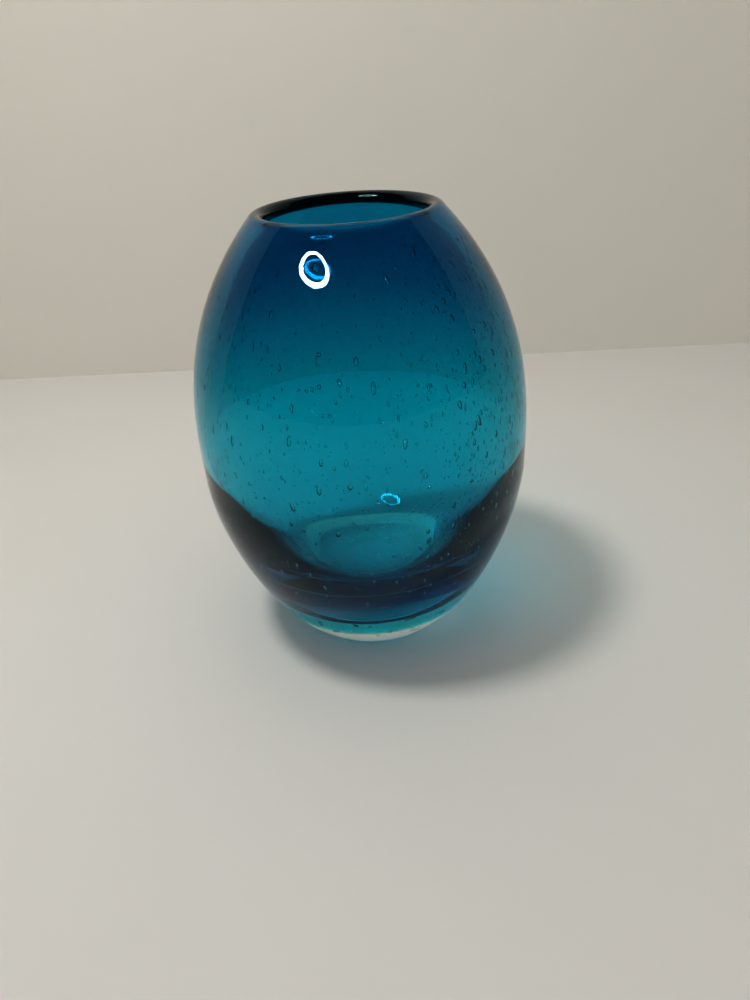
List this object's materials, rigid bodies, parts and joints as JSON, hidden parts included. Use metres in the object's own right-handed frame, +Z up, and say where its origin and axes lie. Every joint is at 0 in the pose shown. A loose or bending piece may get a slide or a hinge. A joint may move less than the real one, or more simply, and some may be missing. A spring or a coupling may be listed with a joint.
{
  "type": "art glass vase",
  "caption": "Egg-shaped blown glass vase with a round fire-polished mouth, a deep rounded cavity and a thick clear foot that rests on its flat ground underside.",
  "frame": {"origin": "centre of the foot, on the plane that the vase stands on", "axes": "+Z up along the axis of the vase, +X to the right and +Y away from the front"},
  "size_m": [0.1266, 0.1266, 0.165],
  "materials": {
    "coloured_glass": "deep teal blown glass, fire-polished gloss, seeded with small air bubbles",
    "clear_glass": "clear glass, polished, with a ground foot"
  },
  "bodies": {
    "root": {"coloured_body": "coloured_glass", "clear_base": "clear_glass"}
  },
  "joints": []
}
